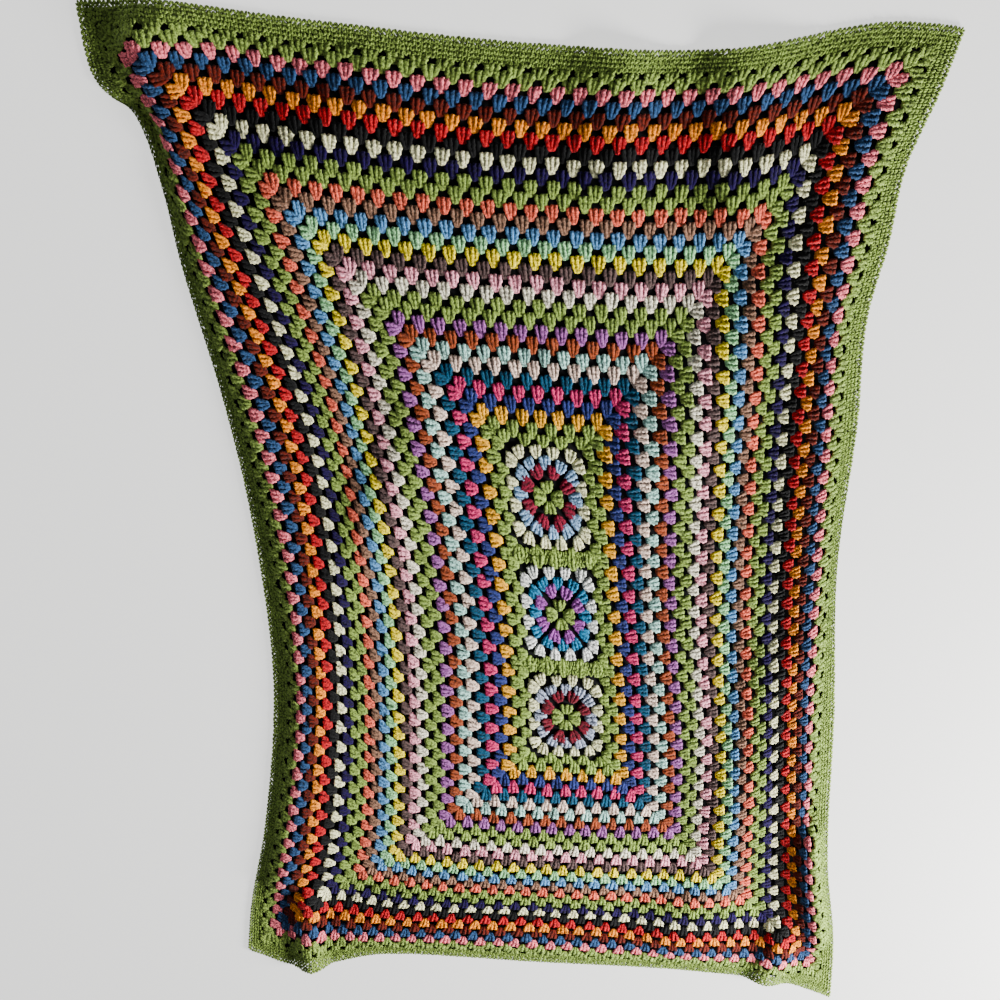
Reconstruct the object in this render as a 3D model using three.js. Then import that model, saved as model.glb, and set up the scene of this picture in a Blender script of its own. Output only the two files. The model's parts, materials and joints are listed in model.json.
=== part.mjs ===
// A granny square blanket, laid out on a flat surface.
// Millimetres, +Z up. The origin is on the surface, under the middle of the laid blanket, and its upper
// edge points to +Y. Three centre squares are joined in a row, a panel of 31 rounds of double crochet
// clusters is worked around them, and an edging of single crochet closes the panel.

import * as THREE from 'three';

// Driving dimensions, in mm unless named otherwise. Places on the cloth are counted in rounds: [across,
// along] from its middle, where one round is ROUND_HEIGHT of relaxed cloth.
const ROUND_HEIGHT = 10.5;
const CLOTH_THICKNESS = 4;
const SEAM_GAP = 0.3;
const EDGING_WIDTH = 18;
const SQUARE_ROUNDS = 5;
const SQUARES = ['square_lower', 'square_middle', 'square_upper'];
const PANEL_ROUNDS = 36;

// Half sizes in rounds, from the middle of the cloth: of a seam, the row of squares, the panel around it
// and the whole blanket.
const halfSeam = SEAM_GAP / 2 / ROUND_HEIGHT;
const halfRow = SQUARES.length * SQUARE_ROUNDS;
const halfPanel = [PANEL_ROUNDS, PANEL_ROUNDS - SQUARE_ROUNDS + halfRow];
const [halfWidth, halfLength] = halfPanel.map((rounds) => rounds + EDGING_WIDTH / ROUND_HEIGHT);

// Where the cloth lies. A section crosses the blanket parallel to its short edges, `along` rounds from
// the middle, and the columns after it are the plan places [x, y] of nine points of that section.
const ACROSS = {
  leftEdge: -halfWidth,
  leftEdging: -PANEL_ROUNDS,
  leftBorder: -32,
  left: -18,
  middle: 0,
  right: 18,
  rightBorder: 32,
  rightEdging: PANEL_ROUNDS,
  rightEdge: halfWidth,
};
const SECTIONS = [
  { along: -halfLength, leftEdge: [-365, -528], leftEdging: [-351, -535], leftBorder: [-315, -553],
    left: [-187, -536], middle: [15, -550], right: [222, -566], rightBorder: [365, -592],
    rightEdging: [401, -608], rightEdge: [415, -615] },
  { along: -42, leftEdge: [-356, -462], leftEdging: [-344, -465], leftBorder: [-310, -474],
    left: [-177, -489], middle: [24, -502], right: [225, -521], rightBorder: [367, -532],
    rightEdging: [396, -532], rightEdge: [409, -532] },
  { along: -30, leftEdge: [-325, -322], leftEdging: [-312, -324], leftBorder: [-280, -330],
    left: [-151, -376], middle: [37, -398], right: [227, -404], rightBorder: [348, -382],
    rightEdging: [370, -379], rightEdge: [383, -378] },
  { along: -15, leftEdge: [-297, -118], leftEdging: [-282, -121], leftBorder: [-254, -128],
    left: [-140, -190], middle: [48, -225], right: [222, -219], rightBorder: [324, -172],
    rightEdging: [349, -163], rightEdge: [364, -158] },
  { along: 0, leftEdge: [-301, 75], leftEdging: [-287, 74], leftBorder: [-253, 71], left: [-141, 19],
    middle: [36, -20], right: [200, -14], rightBorder: [308, 18], rightEdging: [334, 35],
    rightEdge: [343, 39] },
  { along: 15, leftEdge: [-322, 248], leftEdging: [-311, 248], leftBorder: [-275, 248], left: [-164, 219],
    middle: [12, 196], right: [188, 186], rightBorder: [299, 199], rightEdging: [327, 207],
    rightEdge: [343, 212] },
  { along: 25, leftEdge: [-348, 385], leftEdging: [-338, 382], leftBorder: [-306, 371], left: [-186, 345],
    middle: [-3, 327], right: [178, 318], rightBorder: [294, 327], rightEdging: [322, 332],
    rightEdge: [339, 334] },
  { along: 30, leftEdge: [-356, 448], leftEdging: [-348, 444], leftBorder: [-321, 431], left: [-195, 406],
    middle: [-9, 388], right: [174, 381], rightBorder: [295, 391], rightEdging: [332, 395],
    rightEdge: [349, 398] },
  { along: 36, leftEdge: [-373, 515], leftEdging: [-362, 511], leftBorder: [-335, 500], left: [-203, 478],
    middle: [-14, 457], right: [171, 453], rightBorder: [301, 467], rightEdging: [338, 469],
    rightEdge: [355, 470] },
  { along: 42, leftEdge: [-408, 552], leftEdging: [-393, 554], leftBorder: [-348, 560], left: [-206, 544],
    middle: [-13, 521], right: [173, 520], rightBorder: [313, 537], rightEdging: [359, 538],
    rightEdge: [377, 538] },
  { along: halfLength, leftEdge: [-415, 615], leftEdging: [-399, 615], leftBorder: [-358, 615],
    left: [-207, 599], middle: [-2, 579], right: [182, 575], rightBorder: [335, 597],
    rightEdging: [376, 594], rightEdge: [391, 592] },
];

// Soft folds. A crest runs from one place on the cloth to another, `height` over the surface, and sinks to
// nothing over `left` and `right` rounds on its two sides, as seen when walking along it, and over `fade`
// rounds past its two ends.
const FOLDS = [
  { name: 'left side', from: [-33, -35], to: [-33, 31], height: 12, left: 5, right: 9, fade: 6 },
  { name: 'upper left step', from: [-32.6, 36], to: [-32.2, 45], height: 17, left: 2.6, right: 8, fade: 4 },
  { name: 'upper left corner', from: [-36, 40], to: [-31, 47], height: 5, left: 3, right: 4, fade: 3 },
  { name: 'right side', from: [33.5, -20], to: [33.5, 38], height: 9, left: 7, right: 4.5, fade: 6 },
  { name: 'right side turn', from: [34.6, -39], to: [34.6, -28], height: 17, left: 6, right: 3, fade: 3.5 },
  { name: 'top edge before hollow', from: [9, 37], to: [8, 49], height: 9, left: 6, right: 5, fade: 5 },
  { name: 'top edge past hollow', from: [21, 34], to: [18.5, 49], height: 11, left: 4.5, right: 8, fade: 5 },
  { name: 'upper left drape', from: [-25, 30], to: [-13, 42], height: 5, left: 6, right: 6, fade: 5 },
  { name: 'upper right drape', from: [10, 13], to: [28, 29], height: 11, left: 7, right: 9, fade: 6 },
  { name: 'left drape', from: [-27, -2], to: [-13, 14], height: 7, left: 5, right: 6, fade: 5 },
  { name: 'lower right drape', from: [16, -40], to: [27, -8], height: 8, left: 7, right: 8, fade: 6 },
  { name: 'bottom edge', from: [-22, -43.5], to: [22, -43.5], height: 5, left: 6, right: 4.6, fade: 5 },
  { name: 'bottom left pleat', from: [-29, -39], to: [-28, -49], height: 14, left: 3, right: 3.4, fade: 4 },
  { name: 'bottom right pleat', from: [28.5, -39], to: [27, -49], height: 13, left: 4.2, right: 3, fade: 4 },
];

// A smooth curve through the values at the stations: cubic steps whose slope at a station is the mean of
// its two neighbours, weighted by the far one's length. Stations rise.
function curveThrough(stations, values, place) {
  const last = stations.length - 2;
  const passed = stations.filter((station) => station <= place).length;
  const at = Math.max(0, Math.min(passed - 1, last));
  const run = (i) => stations[i + 1] - stations[i];
  const rise = (i) => (values[i + 1] - values[i]) / run(i);
  const slope = (i) => {
    if (i === 0) return rise(0);
    if (i > last) return rise(last);
    return (rise(i - 1) * run(i) + rise(i) * run(i - 1)) / (run(i) + run(i - 1));
  };
  const t = (place - stations[at]) / run(at);
  return values[at] * (1 + 2 * t) * (1 - t) ** 2 + slope(at) * run(at) * t * (1 - t) ** 2
    + values[at + 1] * t * t * (3 - 2 * t) - slope(at + 1) * run(at) * t * t * (1 - t);
}

const alongStations = SECTIONS.map((section) => section.along);
const acrossStations = Object.values(ACROSS);

// The plan place [x, y] of a place on the cloth.
function planPlace([across, along]) {
  return [0, 1].map((axis) => {
    const section = Object.keys(ACROSS).map((column) =>
      curveThrough(alongStations, SECTIONS.map((row) => row[column][axis]), along));
    return curveThrough(acrossStations, section, across);
  });
}

// From 1 at the crest to 0 at `spread` and beyond, level at both.
function fallOff(distance, spread) {
  return distance >= spread ? 0 : (1 + Math.cos(Math.PI * distance / spread)) / 2;
}

// The height of one fold over a place on the cloth.
function foldHeight({ from, to, height, left, right, fade }, [across, along]) {
  const length = Math.hypot(to[0] - from[0], to[1] - from[1]);
  const direction = [(to[0] - from[0]) / length, (to[1] - from[1]) / length];
  const offset = [across - from[0], along - from[1]];
  const walked = offset[0] * direction[0] + offset[1] * direction[1];
  const toLeft = offset[1] * direction[0] - offset[0] * direction[1];
  const past = Math.max(-walked, walked - length, 0);
  return height * fallOff(Math.abs(toLeft), toLeft > 0 ? left : right) * fallOff(past, fade);
}

// The height of the cloth's underside over the surface.
function undersideHeight(place) {
  return FOLDS.reduce((sum, fold) => sum + foldHeight(fold, place), 0);
}

// A closed solid of cloth over a net of lines across and along it. `isCloth` tells which of its cells are
// filled, by the place of their middle, and walls close the solid where a filled cell meets an empty one.
function clothSolid(acrossLines, alongLines, isCloth) {
  const positions = [];
  const triangles = [];
  const numbers = new Map();
  const point = (i, j, isTop) => {
    const key = `${i} ${j} ${isTop}`;
    if (!numbers.has(key)) {
      const place = [acrossLines[i], alongLines[j]];
      const height = undersideHeight(place) + (isTop ? CLOTH_THICKNESS : 0);
      numbers.set(key, positions.length / 3);
      positions.push(...planPlace(place), height);
    }
    return numbers.get(key);
  };
  const face = (a, b, c, d) => triangles.push(a, b, c, a, c, d);
  const isFilled = (i, j) => i >= 0 && j >= 0 && i < acrossLines.length - 1 && j < alongLines.length - 1
    && isCloth((acrossLines[i] + acrossLines[i + 1]) / 2, (alongLines[j] + alongLines[j + 1]) / 2);
  const wall = (i, j, k, l) =>
    face(point(i, j, false), point(k, l, false), point(k, l, true), point(i, j, true));

  for (let i = 0; i < acrossLines.length - 1; i += 1) {
    for (let j = 0; j < alongLines.length - 1; j += 1) {
      if (isFilled(i, j)) {
        face(point(i, j, true), point(i + 1, j, true), point(i + 1, j + 1, true), point(i, j + 1, true));
        face(point(i, j + 1, false), point(i + 1, j + 1, false), point(i + 1, j, false), point(i, j, false));
        if (!isFilled(i, j - 1)) wall(i, j, i + 1, j);
        if (!isFilled(i + 1, j)) wall(i + 1, j, i + 1, j + 1);
        if (!isFilled(i, j + 1)) wall(i + 1, j + 1, i, j + 1);
        if (!isFilled(i - 1, j)) wall(i, j + 1, i, j);
      }
    }
  }
  const solid = new THREE.BufferGeometry();
  solid.setAttribute('position', new THREE.Float32BufferAttribute(positions, 3));
  solid.setIndex(triangles);
  return solid;
}

const blanket = new THREE.Group();

function addPiece(name, colour, geometry) {
  const yarn = new THREE.MeshStandardMaterial({ color: colour, roughness: 0.95, metalness: 0 });
  const piece = new THREE.Mesh(geometry, yarn);
  piece.name = name;
  blanket.add(piece);
}

// The net's lines inside the panel, in rounds, on both sides of the middle. They are close together towards
// the edges, where the folds are, and the panel and the edging share them, so that both bend alike.
const outwards = {
  across: [8, 11, 14, 17, 20, 23, 25.5, 28, 30, 31.5, 32.5, 33.5, 34.5],
  along: [18, 21, 24, 27, 30, 33, 35.5, 38, 40, 41.5, 43, 44.5],
};
const wider = (halfSizes, rounds) => halfSizes.map((size) => size + rounds);
const hole = wider([SQUARE_ROUNDS, halfRow], halfSeam);
const squareLines = [-SQUARE_ROUNDS / 2, 0, SQUARE_ROUNDS / 2];
const seamLines = [-SQUARE_ROUNDS, SQUARE_ROUNDS];
const squareMiddles = SQUARES.map((name, index) => (2 * index - SQUARES.length + 1) * SQUARE_ROUNDS);
const rowLines = [
  ...seamLines,
  ...squareMiddles.flatMap((middle) => squareLines.map((line) => line + middle)),
];
const inside = [
  [...squareLines, hole[0], ...outwards.across],
  [...rowLines, hole[1], ...outwards.along],
].map((lines) => lines.flatMap((line) => [line, -line]));

// Each centre square, with the main colour of its middle.
const SQUARE_COLOURS = { square_lower: 0x5a1a26, square_middle: 0x2c86a6, square_upper: 0x7c2440 };
SQUARES.forEach((name, index) => {
  const reach = SQUARE_ROUNDS - halfSeam;
  const lines = [-reach, ...squareLines, reach];
  const alongLines = lines.map((line) => line + squareMiddles[index]);
  addPiece(name, SQUARE_COLOURS[name], clothSolid(lines, alongLines, () => true));
});

// A frame of cloth between two rectangles, given by their half sizes across and along.
function clothFrame(inner, outer) {
  const [acrossLines, alongLines] = inside.map((lines, axis) => {
    const all = new Set([...lines, -inner[axis], inner[axis], -outer[axis], outer[axis]]);
    return [...all].sort((a, b) => a - b);
  });
  return clothSolid(acrossLines, alongLines, (across, along) =>
    Math.abs(across) > inner[0] || Math.abs(along) > inner[1]);
}

addPiece('rounds_panel', 0xa9625c, clothFrame(hole, wider(halfPanel, -halfSeam)));
addPiece('edging', 0x71824c, clothFrame(wider(halfPanel, halfSeam), [halfWidth, halfLength]));

export default blanket;
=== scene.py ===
# A granny square blanket, laid on a floor in soft folds.
#
# Metres, +Z up. The origin is on the floor, under the middle of the laid blanket, and its upper edge points
# to +Y. Places on the cloth are counted in rounds, [across, along] from its middle. Every stitch is worked
# on a flat cloth in those units first, and is then draped on the sheet that the section and fold tables give.

import json
import math

import bpy
import bmesh
import numpy as np
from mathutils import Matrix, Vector

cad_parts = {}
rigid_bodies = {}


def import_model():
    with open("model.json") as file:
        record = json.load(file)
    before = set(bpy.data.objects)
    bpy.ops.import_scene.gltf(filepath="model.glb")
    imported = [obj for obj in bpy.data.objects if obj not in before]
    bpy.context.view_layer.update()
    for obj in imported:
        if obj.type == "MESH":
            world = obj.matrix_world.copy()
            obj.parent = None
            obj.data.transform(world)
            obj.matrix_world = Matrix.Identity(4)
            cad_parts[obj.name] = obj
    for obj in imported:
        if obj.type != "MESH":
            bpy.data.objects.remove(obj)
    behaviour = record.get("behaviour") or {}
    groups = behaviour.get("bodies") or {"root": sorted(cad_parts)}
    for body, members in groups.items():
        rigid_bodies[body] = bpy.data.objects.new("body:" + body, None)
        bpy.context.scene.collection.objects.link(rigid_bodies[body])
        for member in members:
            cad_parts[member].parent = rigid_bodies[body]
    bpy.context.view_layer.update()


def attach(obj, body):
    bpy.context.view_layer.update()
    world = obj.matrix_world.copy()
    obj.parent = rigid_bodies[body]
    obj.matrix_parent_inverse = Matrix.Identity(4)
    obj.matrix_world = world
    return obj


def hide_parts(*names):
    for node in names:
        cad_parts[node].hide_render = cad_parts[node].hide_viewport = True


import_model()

MM = 0.001

# Driving dimensions, in metres, and counts.
ROUND_HEIGHT = 10.5 * MM
EDGING_WIDTH = 18 * MM
SQUARE_ROUNDS = 5
SQUARES = ["square_lower", "square_middle", "square_upper"]
PANEL_ROUNDS = 36
LONGER = SQUARE_ROUNDS * (len(SQUARES) - 1)  # how many rounds the cloth is longer than wide, each way
HALF_WIDTH = PANEL_ROUNDS + EDGING_WIDTH / ROUND_HEIGHT
HALF_LENGTH = HALF_WIDTH + LONGER


# ---- Where the cloth lies -------------------------------------------------------------------------------

# A section crosses the blanket parallel to its short edges, `along` rounds from the middle, and its columns
# are the plan places [x, y], in mm, of nine points of that section.
ACROSS = {
    "left_edge": -HALF_WIDTH,
    "left_edging": -PANEL_ROUNDS,
    "left_border": -32,
    "left": -18,
    "middle": 0,
    "right": 18,
    "right_border": 32,
    "right_edging": PANEL_ROUNDS,
    "right_edge": HALF_WIDTH,
}
SECTIONS = [
    dict(along=-HALF_LENGTH, left_edge=[-365, -528], left_edging=[-351, -535], left_border=[-315, -553],
         left=[-187, -536], middle=[15, -550], right=[222, -566], right_border=[365, -592],
         right_edging=[401, -608], right_edge=[415, -615]),
    dict(along=-42, left_edge=[-356, -462], left_edging=[-344, -465], left_border=[-310, -474],
         left=[-177, -489], middle=[24, -502], right=[225, -521], right_border=[367, -532],
         right_edging=[396, -532], right_edge=[409, -532]),
    dict(along=-30, left_edge=[-325, -322], left_edging=[-312, -324], left_border=[-280, -330],
         left=[-151, -376], middle=[37, -398], right=[227, -404], right_border=[348, -382],
         right_edging=[370, -379], right_edge=[383, -378]),
    dict(along=-15, left_edge=[-297, -118], left_edging=[-282, -121], left_border=[-254, -128],
         left=[-140, -190], middle=[48, -225], right=[222, -219], right_border=[324, -172],
         right_edging=[349, -163], right_edge=[364, -158]),
    dict(along=0, left_edge=[-301, 75], left_edging=[-287, 74], left_border=[-253, 71], left=[-141, 19],
         middle=[36, -20], right=[200, -14], right_border=[308, 18], right_edging=[334, 35],
         right_edge=[343, 39]),
    dict(along=15, left_edge=[-322, 248], left_edging=[-311, 248], left_border=[-275, 248],
         left=[-164, 219], middle=[12, 196], right=[188, 186], right_border=[299, 199],
         right_edging=[327, 207], right_edge=[343, 212]),
    dict(along=25, left_edge=[-348, 385], left_edging=[-338, 382], left_border=[-306, 371],
         left=[-186, 345], middle=[-3, 327], right=[178, 318], right_border=[294, 327],
         right_edging=[322, 332], right_edge=[339, 334]),
    dict(along=30, left_edge=[-356, 448], left_edging=[-348, 444], left_border=[-321, 431],
         left=[-195, 406], middle=[-9, 388], right=[174, 381], right_border=[295, 391],
         right_edging=[332, 395], right_edge=[349, 398]),
    dict(along=36, left_edge=[-373, 515], left_edging=[-362, 511], left_border=[-335, 500],
         left=[-203, 478], middle=[-14, 457], right=[171, 453], right_border=[301, 467],
         right_edging=[338, 469], right_edge=[355, 470]),
    dict(along=42, left_edge=[-408, 552], left_edging=[-393, 554], left_border=[-348, 560],
         left=[-206, 544], middle=[-13, 521], right=[173, 520], right_border=[313, 537],
         right_edging=[359, 538], right_edge=[377, 538]),
    dict(along=HALF_LENGTH, left_edge=[-415, 615], left_edging=[-399, 615], left_border=[-358, 615],
         left=[-207, 599], middle=[-2, 579], right=[182, 575], right_border=[335, 597],
         right_edging=[376, 594], right_edge=[391, 592]),
]

# Soft folds. A crest runs from one place on the cloth to another, `height` mm over the floor, and sinks to
# nothing over `left` and `right` rounds on its two sides, as seen when walking along it, and over `fade`
# rounds past its two ends.
FOLDS = [
    dict(name="left side", start=[-33, -35], end=[-33, 31], height=12, left=5, right=9, fade=6),
    dict(name="upper left step", start=[-32.6, 36], end=[-32.2, 45], height=17, left=2.6, right=8, fade=4),
    dict(name="upper left corner", start=[-36, 40], end=[-31, 47], height=5, left=3, right=4, fade=3),
    dict(name="right side", start=[33.5, -20], end=[33.5, 38], height=9, left=7, right=4.5, fade=6),
    dict(name="right side turn", start=[34.6, -39], end=[34.6, -28], height=17, left=6, right=3, fade=3.5),
    dict(name="top edge before hollow", start=[9, 37], end=[8, 49], height=9, left=6, right=5, fade=5),
    dict(name="top edge past hollow", start=[21, 34], end=[18.5, 49], height=11, left=4.5, right=8, fade=5),
    dict(name="upper left drape", start=[-25, 30], end=[-13, 42], height=5, left=6, right=6, fade=5),
    dict(name="upper right drape", start=[10, 13], end=[28, 29], height=11, left=7, right=9, fade=6),
    dict(name="left drape", start=[-27, -2], end=[-13, 14], height=7, left=5, right=6, fade=5),
    dict(name="lower right drape", start=[16, -40], end=[27, -8], height=8, left=7, right=8, fade=6),
    dict(name="bottom edge", start=[-22, -43.5], end=[22, -43.5], height=5, left=6, right=4.6, fade=5),
    dict(name="bottom left pleat", start=[-29, -39], end=[-28, -49], height=14, left=3, right=3.4, fade=4),
    dict(name="bottom right pleat", start=[28.5, -39], end=[27, -49], height=13, left=4.2, right=3, fade=4),
]

# The sheet that the stitches are draped on reaches past the cloth, so that every stitch end is on it.
SHEET_MARGIN = 1.5
SHEET_STEP = 0.5
SHEET_HALF = [HALF_WIDTH + SHEET_MARGIN, HALF_LENGTH + SHEET_MARGIN]


def curve_through(stations, values, places):
    """Smooth curves through the values, one for each of the last axis's stations, read at the places.
    They are straight past both ends."""
    run = np.diff(stations)
    rise = np.diff(values, axis=-1) / run
    between = (rise[..., :-1] * run[1:] + rise[..., 1:] * run[:-1]) / (run[1:] + run[:-1])
    slope = np.concatenate([rise[..., :1], between, rise[..., -1:]], axis=-1)
    inside = np.clip(places, stations[0], stations[-1])
    at = np.clip(np.searchsorted(stations, inside, side="right") - 1, 0, len(run) - 1)
    t = (inside - stations[at]) / run[at]
    curve = (
        values[..., at] * (1 + 2 * t) * (1 - t) ** 2
        + slope[..., at] * run[at] * t * (1 - t) ** 2
        + values[..., at + 1] * t * t * (3 - 2 * t)
        - slope[..., at + 1] * run[at] * t * t * (1 - t)
    )
    end_slope = np.where(places < inside, slope[..., :1], slope[..., -1:])
    return curve + (places - inside) * end_slope


def fall_off(distance, spread):
    """From 1 at the crest to 0 at `spread` and beyond, level at both."""
    return (1 + np.cos(np.pi * np.clip(distance / spread, 0, 1))) / 2


def fold_height(fold, across, along):
    """The height of one fold over places on the cloth, in metres."""
    start, end = np.array(fold["start"], float), np.array(fold["end"], float)
    length = np.linalg.norm(end - start)
    direction = (end - start) / length
    offset = across - start[0], along - start[1]
    walked = offset[0] * direction[0] + offset[1] * direction[1]
    to_left = offset[1] * direction[0] - offset[0] * direction[1]
    spread = np.where(to_left > 0, fold["left"], fold["right"])
    past = np.maximum(np.maximum(-walked, walked - length), 0)
    return fold["height"] * MM * fall_off(np.abs(to_left), spread) * fall_off(past, fold["fade"])


def make_drape_sheet():
    """The sheet under the cloth, as a net that carries its place on the cloth and its upward direction."""
    lines = [np.linspace(-half, half, 2 * round(half / SHEET_STEP) + 1) for half in SHEET_HALF]
    columns = np.array([[row[name] for name in ACROSS] for row in SECTIONS], float) * MM
    stations = np.array([row["along"] for row in SECTIONS], float)
    section = curve_through(stations, np.moveaxis(columns, 0, -1), lines[1])  # column, axis, along
    plan = curve_through(np.array(list(ACROSS.values()), float), np.moveaxis(section, 0, -1), lines[0])
    across, along = np.meshgrid(*lines)
    height = sum(fold_height(fold, across, along) for fold in FOLDS)
    points = np.stack([plan[0], plan[1], height], axis=-1)
    up = np.cross(np.gradient(points, axis=1), np.gradient(points, axis=0))
    up /= np.linalg.norm(up, axis=-1, keepdims=True)

    rows, row_length = across.shape
    number = np.arange(rows * row_length).reshape(rows, row_length)
    corners = number[:-1, :-1], number[:-1, 1:], number[1:, 1:], number[1:, :-1]
    mesh = bpy.data.meshes.new("drape sheet")
    mesh.from_pydata(points.reshape(-1, 3), [], np.stack(corners, axis=-1).reshape(-1, 4).tolist())
    place = np.stack([across / SHEET_HALF[0], along / SHEET_HALF[1], 0 * across], axis=-1) / 2 + 0.5
    for name, values in (("cloth place", place), ("cloth up", up)):
        attribute = mesh.attributes.new(name, "FLOAT_VECTOR", "POINT")
        attribute.data.foreach_set("vector", values.reshape(-1))
    sheet = bpy.data.objects.new("drape sheet", mesh)
    bpy.context.collection.objects.link(sheet)
    return sheet


# ---- Camera ---------------------------------------------------------------------------------------------

CAMERA_PLACE = (-32.2 * MM, 606.8 * MM, 1090 * MM)
CAMERA_TILT = math.radians(24)
FOCAL_LENGTH = 1.1  # in widths of the view


def make_camera():
    """Above the upper half of the blanket, looking down and towards its lower edge."""
    camera = bpy.data.cameras.new("camera")
    camera.sensor_width = 36
    camera.lens = FOCAL_LENGTH * camera.sensor_width
    camera.clip_start = 0.01
    holder = bpy.data.objects.new("camera", camera)
    holder.location = CAMERA_PLACE
    holder.rotation_euler = (-CAMERA_TILT, 0, 0)
    bpy.context.collection.objects.link(holder)
    bpy.context.scene.camera = holder


# ---- Node trees -----------------------------------------------------------------------------------------


class Tree:
    """A node tree with named inputs and outputs, and short ways to add nodes to it."""

    def __init__(self, name, kind, inputs, outputs):
        self.tree = bpy.data.node_groups.new(name, kind)
        for in_out, sockets in (("INPUT", inputs), ("OUTPUT", outputs)):
            for socket_name, socket_kind in sockets.items():
                self.tree.interface.new_socket(socket_name, in_out=in_out, socket_type=socket_kind)
        self.given = self.tree.nodes.new("NodeGroupInput").outputs
        self.result = self.tree.nodes.new("NodeGroupOutput").inputs

    def put(self, socket, value):
        """Links the socket to another node's output, or sets it to a plain value."""
        if isinstance(value, bpy.types.NodeSocket):
            self.tree.links.new(value, socket)
        else:
            socket.default_value = value

    def add(self, kind, inputs, **settings):
        """A new node, its inputs given by name."""
        node = self.tree.nodes.new(kind)
        for name, value in settings.items():
            setattr(node, name, value)
        for name, value in inputs.items():
            self.put(next(socket for socket in node.inputs if socket.enabled and socket.name == name), value)
        return node

    def group(self, tree, inputs):
        """Another tree as a node of this one. Its first output is given back."""
        node = self.tree.nodes.new(self.tree.bl_idname.replace("Tree", "Group"))
        node.node_tree = tree.tree
        for name, value in inputs.items():
            self.put(node.inputs[name], value)
        return node.outputs[0]

    def calc(self, operation, *values):
        """The result of a Math node."""
        node = self.tree.nodes.new("ShaderNodeMath")
        node.operation = operation
        for socket, value in zip(node.inputs, values):
            self.put(socket, value)
        return node.outputs[0]

    def total(self, *values):
        """The sum of any number of values."""
        result = values[0]
        for value in values[1:]:
            result = self.calc("ADD", result, value)
        return result

    def vector(self, operation, *values):
        """The result of a Vector Math node. SCALE takes its number last."""
        node = self.tree.nodes.new("ShaderNodeVectorMath")
        node.operation = operation
        sockets = [socket for socket in node.inputs if socket.enabled]
        for socket, value in zip(sockets, values):
            self.put(socket, value)
        return node.outputs[0]

    def combine(self, x, y, z):
        """A vector of three values."""
        return self.add("ShaderNodeCombineXYZ", {"X": x, "Y": y, "Z": z}).outputs[0]

    def handed_on(self, names):
        """The tree's own inputs of these names, for a group that has them too."""
        return {name: self.given[name] for name in names}

    def random(self, spread, number, seed):
        """A random value from -spread to spread for each number."""
        least = self.calc("MULTIPLY", spread, -1)
        inputs = {"Min": least, "Max": spread, "ID": number, "Seed": seed}
        node = self.add("FunctionNodeRandomValue", inputs, data_type="FLOAT")
        return next(socket for socket in node.outputs if socket.enabled)


GEOMETRY, FLOAT, INT = "NodeSocketGeometry", "NodeSocketFloat", "NodeSocketInt"
OBJECT, COLLECTION = "NodeSocketObject", "NodeSocketCollection"
MATERIAL, COLOUR = "NodeSocketMaterial", "NodeSocketColor"

# The inputs that trees have in common.
DRAPING_INPUTS = {"Drape Sheet": OBJECT, "Round Height": FLOAT, "Yarn": MATERIAL}
CLUSTER_INPUTS = {
    "Width": FLOAT, "Corner Rise": FLOAT, "Corner Lean": FLOAT, "Roundness": FLOAT, "Unevenness": FLOAT,
    "Seed": INT,
}
PLAIN_INPUTS = {"Worked As": COLLECTION, "Size": FLOAT, "Unevenness": FLOAT, "Seed": INT}

# How stitches are worked, in rounds.
POSTS = 3  # in a cluster
PITCH = 2.0  # between clusters
TIP_DEPTH = 1.3  # how far inside its round a cluster starts
CORNER_OVERLAP = 0.2  # how far a plain row runs past its corners, so that they close

# How far handwork strays at an unevenness of 1: places in rounds, turns in radians, sizes as shares. A plain
# stitch strays along its row by a share of a stitch. Each kind of stray has a seed of its own.
CLUSTER_STRAY = dict(x=0.07, y=0.05, turn=math.radians(5), length=0.05, width=0.06)
POST_STRAY = dict(x=0.02, z=0.02, turn=math.radians(2), roll=math.radians(9))
PLAIN_STRAY = dict(along=0.08, y=0.03, z=0.02, turn=math.radians(7), roll=math.radians(8), width=0.08)
SEEDS_APART = 101  # from one side of a round to the next


def stitch_instances(tree, points, collection, picked, rotation, scale, number, seed):
    """Stitches picked from a collection on points, each with a random `stitch shade` from -1 to 1."""
    instances = tree.add("GeometryNodeInstanceOnPoints", {
        "Points": points,
        "Instance": tree.add("GeometryNodeCollectionInfo", {
            "Collection": collection, "Separate Children": True, "Reset Children": True,
        }).outputs[0],
        "Pick Instance": True,
        "Instance Index": picked,
        "Rotation": tree.add("FunctionNodeEulerToRotation", {"Euler": rotation}).outputs[0],
        "Scale": scale,
    }).outputs[0]
    return tree.add("GeometryNodeStoreNamedAttribute", {
        "Geometry": instances,
        "Name": "stitch shade",
        "Value": tree.random(1.0, number, seed),
    }, data_type="FLOAT", domain="INSTANCE").outputs[0]


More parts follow.
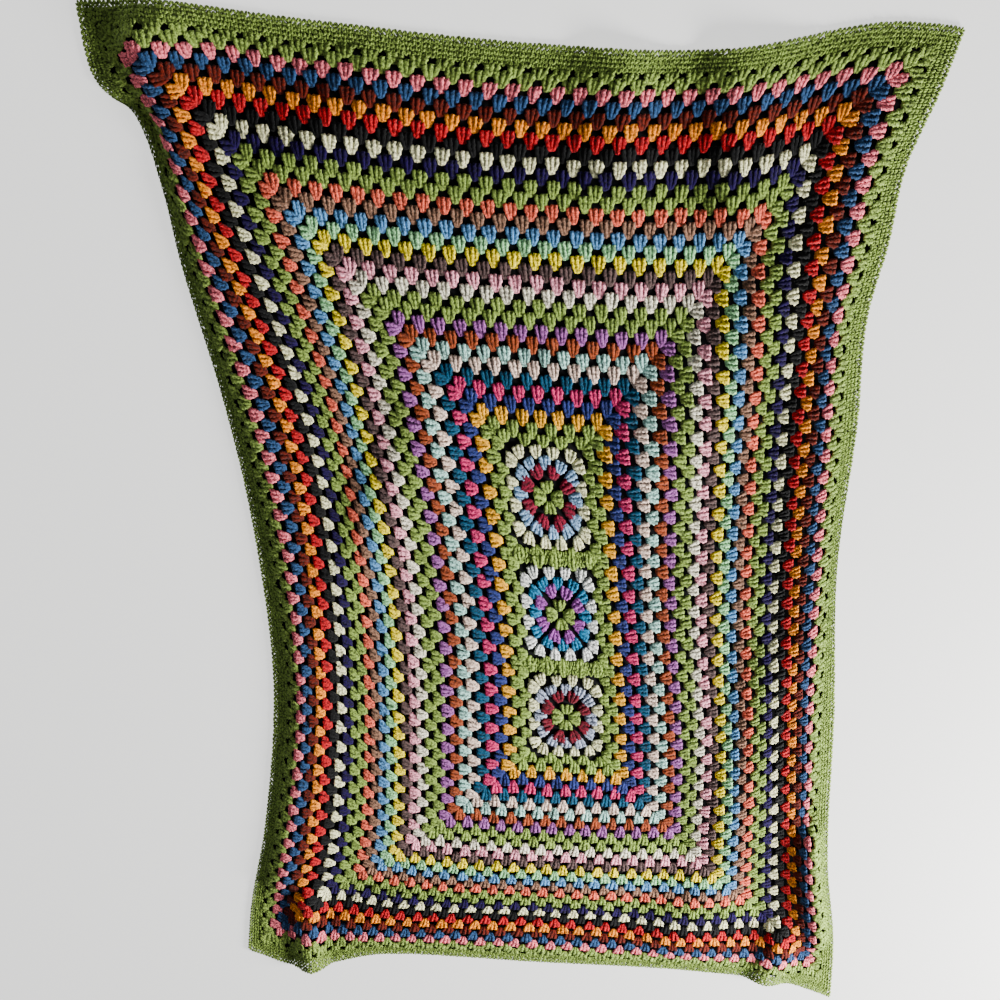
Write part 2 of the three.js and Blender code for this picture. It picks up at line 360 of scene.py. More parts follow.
def make_granny_side():
    """One side of a round: clusters of posts that start from one tip. The one at each corner stands a little
    further out and leans away from its corner. The side runs along X and its posts point to +Y, or it bends
    towards a quarter of a ring."""
    tree = Tree("granny side", "GeometryNodeTree", {
        "Clusters": INT, "Reach": FLOAT, "Worked As": COLLECTION, "Start": FLOAT, "Length": FLOAT,
        **CLUSTER_INPUTS,
    }, {"Side": GEOMETRY})
    clusters, uneven, seed = (tree.given[name] for name in ("Clusters", "Unevenness", "Seed"))
    roundness = tree.given["Roundness"]
    index = tree.add("GeometryNodeInputIndex", {}).outputs[0]
    cluster = tree.calc("FLOOR", tree.calc("DIVIDE", index, POSTS))
    post = tree.calc("MODULO", index, POSTS)
    last = tree.calc("SUBTRACT", clusters, 1)

    def wander(spread, number, offset):
        return tree.random(tree.calc("MULTIPLY", uneven, spread), number, tree.calc("ADD", seed, offset))

    def rounded(straight, bent):
        """From the straight side's value to the bent one's, by the roundness."""
        return tree.total(straight, tree.calc("MULTIPLY", roundness, tree.calc("SUBTRACT", bent, straight)))

    x = tree.total(
        tree.calc("SUBTRACT", tree.calc("MULTIPLY", cluster, PITCH), last),
        wander(CLUSTER_STRAY["x"], cluster, 1),
    )
    near = 0.5  # numbers that differ by less count as the same
    at_end = tree.calc("COMPARE", cluster, last, near)
    at_start = tree.calc("COMPARE", cluster, 0.0, near)
    at_corner = tree.calc("MAXIMUM", at_end, at_start)
    y = tree.total(
        tree.given["Reach"], tree.given["Start"], -TIP_DEPTH, wander(CLUSTER_STRAY["y"], cluster, 2),
        tree.calc("MULTIPLY", at_corner, tree.given["Corner Rise"]),
    )
    bearing = tree.calc("MULTIPLY", tree.calc("DIVIDE", x, clusters), math.pi / 4)
    line = tree.add("GeometryNodeMeshLine", {"Count": tree.calc("MULTIPLY", clusters, POSTS)}, mode="OFFSET")
    points = tree.add("GeometryNodeSetPosition", {
        "Geometry": line.outputs[0],
        "Position": tree.combine(
            tree.calc("ADD", wander(POST_STRAY["x"], index, 3),
                      rounded(x, tree.calc("MULTIPLY", y, tree.calc("SINE", bearing)))),
            rounded(y, tree.calc("MULTIPLY", y, tree.calc("COSINE", bearing))),
            wander(POST_STRAY["z"], index, 10),
        ),
    }).outputs[0]

    lean = tree.calc("MULTIPLY", tree.calc("SUBTRACT", at_start, at_end), tree.given["Corner Lean"])
    turn = tree.total(
        tree.calc("MULTIPLY", -1.0, rounded(lean, bearing)),
        wander(CLUSTER_STRAY["turn"], cluster, 4),
        wander(POST_STRAY["turn"], index, 5),
    )
    roll = wander(POST_STRAY["roll"], index, 6)
    longer = tree.total(wander(CLUSTER_STRAY["length"], cluster, 7), 1.0)
    length = tree.calc("MULTIPLY", tree.given["Length"], longer)
    wider = tree.total(wander(CLUSTER_STRAY["width"], cluster, 8), 1.0)
    width = tree.calc("MULTIPLY", tree.given["Width"], wider)
    instances = stitch_instances(
        tree, points, tree.given["Worked As"], post, tree.combine(0.0, roll, turn),
        tree.combine(width, length, 1.0), index, tree.calc("ADD", seed, 9),
    )
    tree.put(tree.result["Side"], instances)
    return tree


def make_plain_side():
    """One side of a row of single crochet, or a seam: stitches side by side along X, pointing to +Y."""
    inputs = {"Stitches": INT, "Half Run": FLOAT, "Reach": FLOAT, **PLAIN_INPUTS}
    tree = Tree("plain side", "GeometryNodeTree", inputs, {"Side": GEOMETRY})
    stitches, uneven, seed = (tree.given[name] for name in ("Stitches", "Unevenness", "Seed"))
    index = tree.add("GeometryNodeInputIndex", {}).outputs[0]

    def wander(spread, offset):
        return tree.random(tree.calc("MULTIPLY", uneven, spread), index, tree.calc("ADD", seed, offset))

    step = tree.calc("DIVIDE", tree.calc("MULTIPLY", tree.given["Half Run"], 2.0), stitches)
    from_end = tree.calc("MULTIPLY", tree.total(index, 0.5, wander(PLAIN_STRAY["along"], 1)), step)
    x = tree.calc("SUBTRACT", from_end, tree.given["Half Run"])
    y = tree.total(tree.given["Reach"], wander(PLAIN_STRAY["y"], 2))
    line = tree.add("GeometryNodeMeshLine", {"Count": stitches}, mode="OFFSET")
    points = tree.add("GeometryNodeSetPosition", {
        "Geometry": line.outputs[0],
        "Position": tree.combine(x, y, wander(PLAIN_STRAY["z"], 3)),
    }).outputs[0]
    rotation = tree.combine(0.0, wander(PLAIN_STRAY["roll"], 4), wander(PLAIN_STRAY["turn"], 5))
    size = tree.given["Size"]
    width = tree.calc("MULTIPLY", size, tree.total(wander(PLAIN_STRAY["width"], 6), 1.0))
    instances = stitch_instances(
        tree, points, tree.given["Worked As"], 0, rotation,
        tree.combine(width, size, size), index, tree.calc("ADD", seed, 7),
    )
    tree.put(tree.result["Side"], instances)
    return tree


def make_draping():
    """Lays stitches that were worked flat, in rounds, on the drape sheet, and gives them their yarn."""
    inputs = {"Stitches": GEOMETRY, **DRAPING_INPUTS}
    tree = Tree("draping", "GeometryNodeTree", inputs, {"Cloth": GEOMETRY})
    sheet = tree.add("GeometryNodeObjectInfo", {"Object": tree.given["Drape Sheet"]}).outputs["Geometry"]
    worked = tree.add("GeometryNodeInputPosition", {}).outputs[0]
    # From rounds to the sheet's own places, which run from 0 to 1 each way.
    place = tree.vector("DIVIDE", worked, (*SHEET_HALF, 1.0))
    place = tree.vector("MULTIPLY_ADD", place, (0.5, 0.5, 0.0), (0.5, 0.5, 0.0))

    def on_sheet(value):
        node = tree.add("GeometryNodeSampleUVSurface", {
            "Mesh": sheet,
            "Value": value,
            "UV Map": named_vector(tree, "cloth place"),
            "Sample UV": place,
        }, data_type="FLOAT_VECTOR")
        return next(socket for socket in node.outputs if socket.enabled)

    depth = tree.add("ShaderNodeSeparateXYZ", {"Vector": worked}).outputs["Z"]
    rise = tree.vector("SCALE", on_sheet(named_vector(tree, "cloth up")),
                       tree.calc("MULTIPLY", depth, tree.given["Round Height"]))
    on_floor = tree.add("GeometryNodeInputPosition", {}).outputs[0]
    laid = tree.add("GeometryNodeSetPosition", {
        "Geometry": tree.add("GeometryNodeRealizeInstances", {"Geometry": tree.given["Stitches"]}).outputs[0],
        "Position": tree.vector("ADD", on_sheet(on_floor), rise),
    }).outputs[0]
    yarn = tree.add("GeometryNodeSetMaterial", {"Geometry": laid, "Material": tree.given["Yarn"]})
    tree.put(tree.result["Cloth"], yarn.outputs[0])
    return tree


def named_vector(tree, name):
    """A vector that the mesh carries."""
    node = tree.add("GeometryNodeInputNamedAttribute", {"Name": name}, data_type="FLOAT_VECTOR")
    return next(socket for socket in node.outputs if socket.enabled)


def joined_sides(tree, sides):
    """Four sides, each turned a quarter further, joined into one round."""
    join = tree.tree.nodes.new("GeometryNodeJoinGeometry")
    for number, side in enumerate(sides):
        turned = tree.add("GeometryNodeTransform", {
            "Geometry": side, "Rotation": (0.0, 0.0, -number * math.pi / 2),
        })
        tree.tree.links.new(turned.outputs[0], join.inputs[0])
    return join.outputs[0]


def make_granny_round(granny_side, draping):
    """A whole round: four sides of clusters, laid around the middle of a square or of the blanket."""
    tree = Tree("granny round", "GeometryNodeTree", {
        "Round": INT, "Longer": INT, "Middle": FLOAT, "Worked As": COLLECTION, "Start": FLOAT,
        "Length": FLOAT, "Upper Length": FLOAT, "Lower Length": FLOAT, **CLUSTER_INPUTS, **DRAPING_INPUTS,
    }, {"Cloth": GEOMETRY})
    given = tree.given
    across = given["Round"]
    along = tree.calc("ADD", given["Round"], given["Longer"])
    lengths = [given["Upper Length"], given["Length"], given["Lower Length"], given["Length"]]
    sides = [
        tree.group(granny_side, {
            **tree.handed_on(["Worked As", "Start", *CLUSTER_INPUTS]),
            "Clusters": count, "Reach": reach, "Length": length,
            "Seed": tree.calc("ADD", given["Seed"], number * SEEDS_APART),
        })
        for number, (count, reach, length) in enumerate(
            zip([across, along, across, along], [along, across, along, across], lengths))
    ]
    placed = tree.add("GeometryNodeTransform", {
        "Geometry": tree.add("GeometryNodeRealizeInstances", {
            "Geometry": joined_sides(tree, sides)}).outputs[0],
        "Translation": tree.combine(0.0, given["Middle"], 0.0),
    }).outputs[0]
    cloth = tree.group(draping, {"Stitches": placed, **tree.handed_on(DRAPING_INPUTS)})
    tree.put(tree.result["Cloth"], cloth)
    return tree


def make_plain_round(plain_side, draping):
    """A row of single crochet all the way round."""
    tree = Tree("plain round", "GeometryNodeTree", {
        "Reach": FLOAT, "Longer": FLOAT, "Stitches per Round Height": FLOAT, **PLAIN_INPUTS,
        **DRAPING_INPUTS,
    }, {"Cloth": GEOMETRY})
    given = tree.given
    across = given["Reach"]
    along = tree.calc("ADD", given["Reach"], given["Longer"])
    sides = []
    for number, (half_run, reach) in enumerate([(across, along), (along, across)] * 2):
        run = tree.calc("MULTIPLY", half_run, 2.0)
        sides.append(tree.group(plain_side, {
            **tree.handed_on(PLAIN_INPUTS),
            "Stitches": tree.calc("ROUND", tree.calc("MULTIPLY", run, given["Stitches per Round Height"])),
            "Half Run": tree.calc("ADD", half_run, CORNER_OVERLAP), "Reach": reach,
            "Seed": tree.calc("ADD", given["Seed"], number * SEEDS_APART),
        }))
    cloth = tree.group(draping, {
        "Stitches": tree.add("GeometryNodeRealizeInstances", {
            "Geometry": joined_sides(tree, sides)}).outputs[0],
        **tree.handed_on(DRAPING_INPUTS),
    })
    tree.put(tree.result["Cloth"], cloth)
    return tree


def make_seam(plain_side, draping):
    """A row of crochet that joins two squares, across the cloth."""
    seam_inputs = {"Stitches": INT, "Half Run": FLOAT, "Reach": FLOAT, **PLAIN_INPUTS}
    tree = Tree("seam", "GeometryNodeTree", {**seam_inputs, **DRAPING_INPUTS}, {"Cloth": GEOMETRY})
    side = tree.group(plain_side, tree.handed_on(seam_inputs))
    cloth = tree.group(draping, {
        "Stitches": tree.add("GeometryNodeRealizeInstances", {"Geometry": side}).outputs[0],
        **tree.handed_on(DRAPING_INPUTS),
    })
    tree.put(tree.result["Cloth"], cloth)
    return tree


def grown(tree, name, **inputs):
    """What a tree makes with these inputs, named with _ for a space, as a plain mesh object."""
    host = bpy.data.objects.new(name, bpy.data.meshes.new(name))
    bpy.context.collection.objects.link(host)
    modifier = host.modifiers.new("stitches", "NODES")
    modifier.node_group = tree.tree
    keys = {item.name: item.identifier for item in tree.tree.interface.items_tree if item.in_out == "INPUT"}
    for word, value in inputs.items():
        modifier[keys[word.replace("_", " ")]] = value
    evaluated = host.evaluated_get(bpy.context.evaluated_depsgraph_get())
    mesh = bpy.data.meshes.new_from_object(evaluated)
    host.modifiers.remove(modifier)
    host.data = mesh
    return host


def joined(name, parts):
    """One object of all the parts."""
    with bpy.context.temp_override(active_object=parts[0], selected_editable_objects=parts):
        bpy.ops.object.join()
    parts[0].name = parts[0].data.name = name
    return parts[0]


# ---- Stitches -------------------------------------------------------------------------------------------

# A stitch in rounds: the places [x, y, z] that its yarn passes, and its half width and half depth there. It
# is pointed at both ends. A double crochet swells where its loops lie, and the posts of a cluster press
# against each other there. They leave dimples and pinholes between them.
MIDDLE_POST = [
    ([0, -0.06, 0.14], 0, 0),
    ([0, 0.08, 0.20], 0.19, 0.09),
    ([0, 0.33, 0.24], 0.19, 0.08),
    ([0, 0.52, 0.27], 0.26, 0.10),
    ([0, 0.74, 0.26], 0.20, 0.08),
    ([0, 0.95, 0.30], 0.29, 0.11),
    ([0, 1.17, 0.27], 0.21, 0.08),
    ([0, 1.38, 0.29], 0.28, 0.11),
    ([0, 1.54, 0.20], 0, 0),
]
RIGHT_POST = [
    ([0.10, -0.04, 0.12], 0, 0),
    ([0.16, 0.10, 0.18], 0.17, 0.09),
    ([0.24, 0.33, 0.22], 0.17, 0.08),
    ([0.32, 0.53, 0.25], 0.25, 0.10),
    ([0.38, 0.74, 0.24], 0.19, 0.08),
    ([0.42, 0.95, 0.28], 0.29, 0.11),
    ([0.44, 1.16, 0.25], 0.20, 0.08),
    ([0.43, 1.33, 0.27], 0.27, 0.11),
    ([0.32, 1.49, 0.19], 0, 0),
]
LEFT_POST = [([-x, y, z], half_width, half_depth) for (x, y, z), half_width, half_depth in RIGHT_POST]
POST_SIDES, POST_SLANT = 5, 0.3
# A single crochet is a flat V of yarn.
SINGLE_CROCHET = [
    ([-0.23, 0.50, 0.16], 0, 0),
    ([-0.17, 0.38, 0.22], 0.120, 0.07),
    ([-0.10, 0.17, 0.25], 0.125, 0.08),
    ([0.00, 0.02, 0.17], 0.110, 0.07),
    ([0.10, 0.17, 0.25], 0.125, 0.08),
    ([0.17, 0.38, 0.22], 0.120, 0.07),
    ([0.23, 0.50, 0.16], 0, 0),
]
LOOP_SIDES, LOOP_SLANT = 4, 0


def collected(name, stitches):
    """A collection of stitches, from left to right."""
    group = bpy.data.collections.new(name)
    bpy.context.scene.collection.children.link(group)
    for stitch in stitches:
        group.objects.link(stitch)
    return group


def make_stitch(name, route, sides, slant):
    """A closed length of yarn. Its rings lean by `slant`, one side ahead of the other, as loops do."""
    places = np.array([place for place, _, _ in route])
    ways = np.gradient(places, axis=0)
    walked = np.concatenate([[0], np.cumsum(np.linalg.norm(np.diff(places, axis=0), axis=1))])
    points, rings = [tuple(places[0])], []
    for number in range(1, len(route) - 1):
        way = Vector(ways[number]).normalized()
        sideways = way.cross(Vector((0, 0, 1))).normalized()
        upwards = sideways.cross(way)
        rings.append([])
        _, half_width, half_depth = route[number]
        for side in range(sides):
            angle = 2 * math.pi * side / sides
            out = half_width * math.cos(angle)
            rings[-1].append(len(points))
            step = sideways * out + upwards * half_depth * math.sin(angle) + way * out * slant
            points.append(tuple(Vector(places[number]) + step))
    points.append(tuple(places[-1]))

    faces, corners = [], []
    for side in range(sides):
        after = (side + 1) % sides
        around, around_after = side / sides, (side + 1) / sides
        faces.append((0, rings[0][side], rings[0][after]))
        corners.append([(around, walked[0]), (around, walked[1]), (around_after, walked[1])])
        for number in range(len(rings) - 1):
            near, far = rings[number], rings[number + 1]
            faces.append((near[side], far[side], far[after], near[after]))
            corners.append([(around, walked[number + 1]), (around, walked[number + 2]),
                            (around_after, walked[number + 2]), (around_after, walked[number + 1])])
        faces.append((len(points) - 1, rings[-1][after], rings[-1][side]))
        corners.append([(around, walked[-1]), (around_after, walked[-2]), (around, walked[-2])])

    mesh = bpy.data.meshes.new(name)
    mesh.from_pydata(points, [], faces)
    uv = mesh.uv_layers.new(name="yarn")
    uv.data.foreach_set("uv", np.array([place for face in corners for place in face]).reshape(-1))
    work = bmesh.new()
    work.from_mesh(mesh)
    bmesh.ops.recalc_face_normals(work, faces=work.faces)
    work.to_mesh(mesh)
    work.free()
    mesh.shade_smooth()
    return bpy.data.objects.new(name, mesh)


# ---- Yarns ----------------------------------------------------------------------------------------------

# The dyed colours, as red, green and blue from 0 to 255.
YARNS = {
    "green": (134, 160, 70),
    "burgundy": (125, 5, 42),
    "light blue": (135, 172, 210),
    "cream": (232, 232, 180),
    "orchid": (155, 75, 165),
    "cerulean": (15, 120, 165),
    "white": (240, 243, 238),
    "dark burgundy": (105, 5, 30),
    "pale lavender": (165, 175, 200),
    "gold": (242, 172, 12),
    "navy": (38, 50, 115),
    "magenta": (210, 40, 105),
    "teal": (5, 72, 102),
    "peach": (238, 208, 190),
    "mint": (170, 220, 208),
    "rust": (155, 68, 32),
    "purple": (155, 88, 158),
    "ivory": (240, 234, 208),
    "pink": (255, 168, 186),
    "mauve grey": (88, 68, 66),
    "yellow": (250, 226, 8),
    "mint green": (152, 215, 152),
    "sky blue": (88, 145, 198),
    "taupe": (142, 104, 82),
    "coral": (244, 102, 76),
    "indigo": (20, 0, 62),
    "pale cream": (242, 240, 188),
    "black": (3, 3, 4),
    "red": (190, 0, 22),
    "orange": (252, 146, 6),
    "rust brown": (98, 22, 5),
    "blue": (38, 74, 118),
    "salmon pink": (255, 122, 136),
}
SQUARE_YARNS = {
    "square_upper": ["green", "burgundy", "light blue", "cream", "green"],
    "square_middle": ["green", "orchid", "cerulean", "white", "green"],
    "square_lower": ["green", "dark burgundy", "pale lavender", "cream", "green"],
}
PANEL_YARNS = [
    "green", "gold", "navy", "magenta", "teal", "peach", "mint", "rust", "purple", "green", "green",
    "ivory", "pink", "mauve grey", "yellow", "mint green", "sky blue", "taupe",
    "coral", "green", "green", "indigo", "pale cream", "black",
    "red", "orange", "rust brown", "blue",
    "salmon pink", "green", "green",
]


def linear(colour):
    """A colour from 0 to 255, as a screen shows it, in linear values with alpha."""
    parts = [part / 255 for part in colour]
    return [part / 12.92 if part <= 0.04045 else ((part + 0.055) / 1.055) ** 2.4 for part in parts] + [1.0]


# The sizes of what shows in a yarn, and how much each part adds to its brightness, painted shade and
# highlight among them.
FIBRE_SIZE, STRAND_SIZE, BLOTCH_SIZE = 1.5 * MM, 2.6 * MM, 14 * MM
DARKEST = 0.46
PLY_PAINTED_SHADE, FIBRE_PAINTED_HIGHLIGHT, BLOTCH_BRIGHTNESS, STITCH_BRIGHTNESS = 0.22, 0.70, 0.16, 0.06
PAINTED_PARTING_SHADE = 0.4  # the brightness left in the painted shade where the yarn's strands part
PLIES = 4
WINDING = 5.5  # how many plies cross each round height of yarn


def make_spun_yarn():
    """The look that every yarn shares: plies that wind round it, with painted shade in their grooves and
    painted highlight on their crests, loose fibres with specks of painted highlight, painted shade where its
    strands part, and small changes of dye.
    """
    tree = Tree("spun yarn", "ShaderNodeTree", {"Dye": COLOUR, "Plies": FLOAT, "Winding": FLOAT},
                {"Colour": COLOUR, "Roughness": FLOAT, "Height": FLOAT})
    around = tree.add("ShaderNodeUVMap", {}, uv_map="yarn").outputs[0]
    parts = tree.add("ShaderNodeSeparateXYZ", {"Vector": around}).outputs
    wound = tree.total(
        tree.calc("MULTIPLY", parts["X"], tree.given["Plies"]),
        tree.calc("MULTIPLY", parts["Y"], tree.given["Winding"]),
    )
    # Ply stripes: a bump, and painted shade in the grooves with painted highlight on the crests.
    ply = tree.calc("ABSOLUTE", tree.calc("SINE", tree.calc("MULTIPLY", wound, math.pi)))
    place = tree.add("ShaderNodeTexCoord", {}).outputs["Object"]

    def noise(size, detail):
        inputs = {"Vector": place, "Scale": 1 / size, "Detail": detail}
        return tree.add("ShaderNodeTexNoise", inputs).outputs[0]

    def spread(value, low, high):
        """How far `value` lies from `low` to `high`, kept between 0 and 1."""
        part = tree.calc("DIVIDE", tree.calc("SUBTRACT", value, low), high - low)
        return tree.calc("MINIMUM", tree.calc("MAXIMUM", part, 0.0), 1.0)

    # Fibre specks: rougher and raised, and painted lighter as highlight.
    fibres = spread(noise(FIBRE_SIZE, detail=1.0), low=0.38, high=0.62)
    strands = spread(noise(STRAND_SIZE, detail=0.0), low=0.38, high=0.50)  # 0 where the strands part, which get painted shade there
    blotches = noise(BLOTCH_SIZE, detail=1.0)
    shade = tree.add("ShaderNodeAttribute", {}, attribute_name="stitch shade").outputs["Fac"]
    # Painted shade where the strands part, standing in for pinholes.
    painted_parting_shade = tree.calc("MULTIPLY_ADD", strands, 1 - PAINTED_PARTING_SHADE, PAINTED_PARTING_SHADE)
    brightness = tree.calc("MULTIPLY", painted_parting_shade, tree.total(
        DARKEST,
        tree.calc("MULTIPLY", ply, PLY_PAINTED_SHADE),
        tree.calc("MULTIPLY", fibres, FIBRE_PAINTED_HIGHLIGHT),
        tree.calc("MULTIPLY", blotches, BLOTCH_BRIGHTNESS),
        tree.calc("MULTIPLY", shade, STITCH_BRIGHTNESS),
    ))
    # The dye, with the painted shade and highlight laid on it.
    dyed_and_painted_shade = tree.add("ShaderNodeHueSaturation", {"Value": brightness, "Color": tree.given["Dye"]})
    tree.put(tree.result["Colour"], dyed_and_painted_shade.outputs[0])
    tree.put(tree.result["Roughness"], tree.calc("MULTIPLY_ADD", fibres, 0.2, 0.75))
    tree.put(tree.result["Height"], tree.total(ply, tree.calc("MULTIPLY", fibres, 0.4), strands))
    return tree


def make_yarn(name, spun_yarn):
    """A dyed acrylic yarn."""
    material = bpy.data.materials.new(f"{name} yarn")
    material.use_nodes = True
    nodes, links = material.node_tree.nodes, material.node_tree.links
    surface = nodes["Principled BSDF"]
    group = nodes.new("ShaderNodeGroup")
    group.node_tree = spun_yarn.tree
    group.inputs["Dye"].default_value = linear(YARNS[name])
    group.inputs["Plies"].default_value = PLIES
    group.inputs["Winding"].default_value = WINDING
    bump = nodes.new("ShaderNodeBump")
    bump.inputs["Strength"].default_value = 0.8
    bump.inputs["Distance"].default_value = 0.5 * MM
    links.new(group.outputs["Height"], bump.inputs["Height"])
    links.new(group.outputs["Colour"], surface.inputs["Base Color"])
    links.new(group.outputs["Roughness"], surface.inputs["Roughness"])
    links.new(bump.outputs["Normal"], surface.inputs["Normal"])
    surface.inputs["Specular IOR Level"].default_value = 0.12
    surface.inputs["Sheen Weight"].default_value = 0.04
    surface.inputs["Sheen Roughness"].default_value = 0.6
    return material


# ---- Pieces of cloth ------------------------------------------------------------------------------------

UNEVENNESS = 1.0
FULL = 1.0  # the length of a granny round's posts, from its tips to just past its round
EDGED = 0.72  # the length of those that end at the edging
# How far the corner clusters stand out, in rounds, and how far they lean away from their corner.
CORNER_RISE, CORNER_LEAN = 0.22, math.radians(4)
SQUARE_CORNER_LEAN = math.radians(-8)
# The rounds of a square are worked shorter, from the inside out: how much further out than usual each
# starts, how long its posts are at the sides and at the upper and lower ends, how wide its clusters are, how
# round it is and how far its corner clusters stand out.
SQUARE_SHAPE = [
    dict(start=0.62, side=0.94, end=0.68, width=1.20, roundness=1.00, corner_rise=0.0),
    dict(start=0.86, side=0.94, end=0.82, width=1.15, roundness=0.90, corner_rise=0.0),
    dict(start=0.54, side=0.96, end=0.80, width=1.00, roundness=0.67, corner_rise=0.0),
    dict(start=0.44, side=0.88, end=0.78, width=1.00, roundness=0.33, corner_rise=0.06),
    dict(start=0.34, side=0.82, end=0.76, width=1.10, roundness=0.00, corner_rise=0.15),
]
# Every round and row is worked with a seed of its own, counted on from these.
SQUARE_SEED, SEAM_SEED, ROUND_SEED, EDGING_SEED = 1000, 500, 100, 7000


def worked_round(kit, number, yarn, seed, **changes):
    """One granny round of the cloth."""
    inputs = dict(
        Round=number, Longer=LONGER, Middle=0.0, Worked_As=kit["cluster"], Start=0.0, Length=FULL,
        Upper_Length=FULL, Lower_Length=FULL, Width=1.0, Corner_Rise=CORNER_RISE, Corner_Lean=CORNER_LEAN,
        Roundness=0.0, Unevenness=UNEVENNESS, Seed=seed,
        Drape_Sheet=kit["drape sheet"], Round_Height=ROUND_HEIGHT, Yarn=kit["yarns"][yarn],
    )
    inputs.update(changes)
    return grown(kit["granny round"], f"round {number}", **inputs)


def make_square(kit, index):
    """A centre square, with the rows that join it to the next one."""
    name = SQUARES[index]
    middle = (2 * index - len(SQUARES) + 1) * SQUARE_ROUNDS
    parts = []
    for number, (shape, yarn) in enumerate(zip(SQUARE_SHAPE, SQUARE_YARNS[name]), start=1):
        seed = SQUARE_SEED * (index + 1) + 10 * number
        parts.append(worked_round(
            kit, number, yarn, seed, Longer=0, Middle=float(middle), Start=shape["start"],
            Length=shape["side"], Upper_Length=shape["end"], Lower_Length=shape["end"],
            Width=shape["width"], Roundness=shape["roundness"], Corner_Rise=shape["corner_rise"],
            Corner_Lean=SQUARE_CORNER_LEAN,
        ))
    if index < len(SQUARES) - 1:
        parts += make_joining(kit, middle + SQUARE_ROUNDS, SEAM_SEED + index)
    square = joined(f"{name}_stitches", parts)
    dress(square, [name])


SEAM_OFFSETS = (-0.65, -0.25, 0.15)  # where the rows start, in rounds from where the squares meet
SEAM_STITCHES = 22
SEAM_STITCH_SIZE = 1.05
SEAM_INSET = 0.1
SEAM_UNEVENNESS = 2.0


def make_joining(kit, along, seed):
    """The rows of crochet that join two squares, `along` rounds from the middle."""
    return [
        grown(
            kit["seam"], "seam", Stitches=SEAM_STITCHES, Half_Run=SQUARE_ROUNDS - SEAM_INSET,
            Reach=along + offset, Worked_As=kit["single crochet"], Size=SEAM_STITCH_SIZE,
            Unevenness=SEAM_UNEVENNESS, Seed=seed + number,
            Drape_Sheet=kit["drape sheet"], Round_Height=ROUND_HEIGHT, Yarn=kit["yarns"]["green"],
        )
        for number, offset in enumerate(SEAM_OFFSETS)
    ]


# The panel's rounds are kept in bands, each a piece of its own.
BANDS = [(6, 16), (17, 23), (24, 29), (30, 33), (34, 36)]
CLOSE_ROUNDS = [35, 36]  # these are worked closer than the others
CLOSE_WIDTH = 1.12


def make_band(kit, first, last):
    """The rounds of the panel from `first` to `last`. The posts of the outermost one are cut short."""
    parts = []
    for number in range(first, last + 1):
        changes = dict(Width=CLOSE_WIDTH) if number in CLOSE_ROUNDS else {}
        if number == PANEL_ROUNDS:
            changes.update(Length=EDGED, Upper_Length=EDGED, Lower_Length=EDGED)
        yarn = PANEL_YARNS[number - SQUARE_ROUNDS - 1]
        parts.append(worked_round(kit, number, yarn, ROUND_SEED * number, **changes))
    band = joined(f"rounds_{first}_to_{last}", parts)
    dress(band, ["rounds_panel"])


EDGING_ROWS = 5
EDGING_START = PANEL_ROUNDS - 0.35
EDGING_STITCH_SIZE = 1.03
STITCHES_PER_ROUND_HEIGHT = 2.4


def make_edging(kit):
    """Rows of single crochet that close the panel."""
    row_height = (HALF_WIDTH - EDGING_START) / EDGING_ROWS
    parts = [
        grown(
            kit["plain round"], "edging row", Reach=EDGING_START + row * row_height, Longer=float(LONGER),
            Stitches_per_Round_Height=STITCHES_PER_ROUND_HEIGHT, Worked_As=kit["single crochet"],
            Size=EDGING_STITCH_SIZE, Unevenness=UNEVENNESS, Seed=EDGING_SEED + row,
            Drape_Sheet=kit["drape sheet"], Round_Height=ROUND_HEIGHT, Yarn=kit["yarns"]["green"],
        )
        for row in range(EDGING_ROWS)
    ]
    edging = joined("edging_stitches", parts)
    dress(edging, ["edging"])


def dress(piece, nodes):
    """Fits a piece of cloth to the frame."""
    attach(piece, "root")
    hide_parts(*nodes)


def make_blanket():
    """All the pieces of the blanket. What they are worked with is removed afterwards."""
    spun_yarn = make_spun_yarn()
    granny_side, plain_side, draping = make_granny_side(), make_plain_side(), make_draping()
    kit = {
        "drape sheet": make_drape_sheet(),
        "cluster": collected("cluster", [
            make_stitch(f"post {number}", route, POST_SIDES, POST_SLANT)
            for number, route in enumerate((LEFT_POST, MIDDLE_POST, RIGHT_POST))
        ]),
        "single crochet": collected("single crochet", [
            make_stitch("loop", SINGLE_CROCHET, LOOP_SIDES, LOOP_SLANT)
        ]),
        "granny round": make_granny_round(granny_side, draping),
        "plain round": make_plain_round(plain_side, draping),
        "seam": make_seam(plain_side, draping),
        "yarns": {name: make_yarn(name, spun_yarn) for name in YARNS},
    }
    for index in range(len(SQUARES)):
        make_square(kit, index)
    for first, last in BANDS:
        make_band(kit, first, last)
    make_edging(kit)
    for name in ("cluster", "single crochet"):
        for stitch in list(kit[name].objects):
            bpy.data.objects.remove(stitch)
        bpy.data.collections.remove(kit[name])
    bpy.data.objects.remove(kit["drape sheet"])


# ---- Floor and light ------------------------------------------------------------------------------------

FLOOR_REACH = 6.0
# A black sheet of painted shade lies under the cloth, to darken its gaps.
PAINTED_SHADE_HEIGHT = 0.2 * MM
PAINTED_SHADE_INSET = 0.15  # in rounds, from the cloth's edge


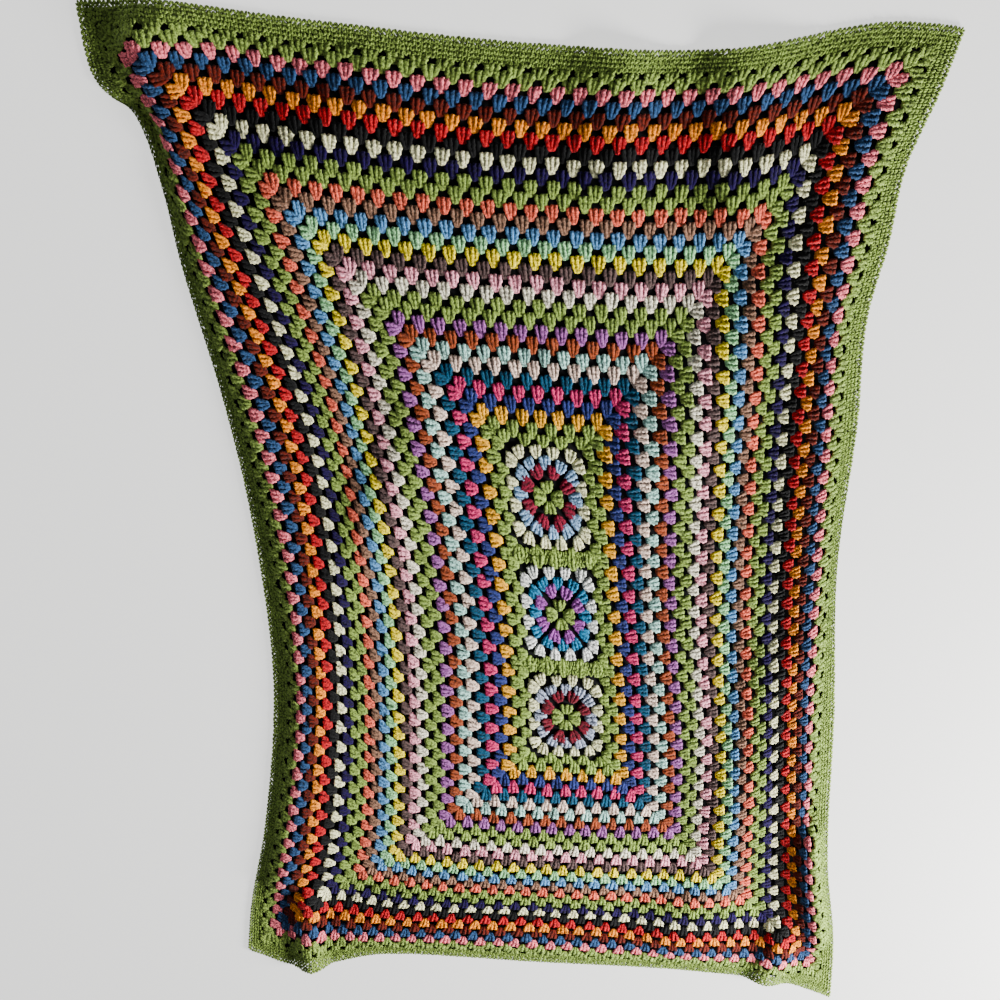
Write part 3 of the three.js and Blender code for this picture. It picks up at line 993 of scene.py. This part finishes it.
def make_floor():
    """A pale floor that glows a little, so that it stays even and shadows on it stay soft."""
    mesh = bpy.data.meshes.new("floor")
    reach = FLOOR_REACH
    corners = [(-reach, -reach, 0), (reach, -reach, 0), (reach, reach, 0), (-reach, reach, 0)]
    mesh.from_pydata(corners, [], [(0, 1, 2, 3)])
    floor = bpy.data.objects.new("floor", mesh)
    bpy.context.collection.objects.link(floor)
    material = bpy.data.materials.new("pale floor")
    material.use_nodes = True
    surface = material.node_tree.nodes["Principled BSDF"]
    surface.inputs["Base Color"].default_value = (0.45, 0.45, 0.44, 1)
    surface.inputs["Roughness"].default_value = 0.9
    surface.inputs["Emission Color"].default_value = (1.0, 1.0, 0.985, 1)
    surface.inputs["Emission Strength"].default_value = 1.15
    mesh.materials.append(material)


def make_painted_gap_shade():
    """A black sheet of painted shade on the floor, just inside the cloth's outline, that shows only through
    its gaps as the shade in them.
    """
    sheet = make_drape_sheet()
    reach = HALF_WIDTH - PAINTED_SHADE_INSET, HALF_LENGTH - PAINTED_SHADE_INSET
    shade_sheet = bmesh.new()
    shade_sheet.from_mesh(sheet.data)
    place = shade_sheet.verts.layers.float_vector["cloth place"]
    outside = [
        corner for corner in shade_sheet.verts
        if any(abs(2 * corner[place][axis] - 1) * SHEET_HALF[axis] > reach[axis] for axis in (0, 1))
    ]
    bmesh.ops.delete(shade_sheet, geom=outside, context="VERTS")
    for corner in shade_sheet.verts:
        corner.co.z = PAINTED_SHADE_HEIGHT
    shade_sheet.to_mesh(sheet.data)
    shade_sheet.free()
    sheet.name = "underlay"
    # Painted shade: black, for the shade seen through the cloth's gaps.
    material = bpy.data.materials.new("black painted gap shade")
    material.use_nodes = True
    surface = material.node_tree.nodes["Principled BSDF"]
    surface.inputs["Base Color"].default_value = (0.006, 0.006, 0.007, 1)
    surface.inputs["Roughness"].default_value = 1.0
    surface.inputs["Specular IOR Level"].default_value = 0.1
    sheet.data.materials.append(material)


def add_light(name, place, towards, size, power, colour):
    """A round lamp, `size` metres across and of `power` watts."""
    light = bpy.data.lights.new(name, "AREA")
    light.shape = "DISK"
    light.size = size
    light.energy = power
    light.color = colour
    holder = bpy.data.objects.new(name, light)
    holder.location = place
    holder.rotation_euler = (Vector(towards) - Vector(place)).to_track_quat("-Z", "Y").to_euler()
    bpy.context.collection.objects.link(holder)


def make_light():
    """A window low at the right of the lower edge, and a dim room."""
    add_light("window", place=(1.42, -0.60, 0.56), towards=(0.0, 0.0, 0.0), size=0.6, power=124,
              colour=(1.0, 0.985, 0.96))
    world = bpy.data.worlds.new("room")
    world.use_nodes = True
    background = world.node_tree.nodes["Background"]
    background.inputs["Color"].default_value = (0.92, 0.95, 1.0, 1)
    background.inputs["Strength"].default_value = 0.24
    bpy.context.scene.world = world


make_camera()
make_blanket()
make_floor()
make_painted_gap_shade()
make_light()
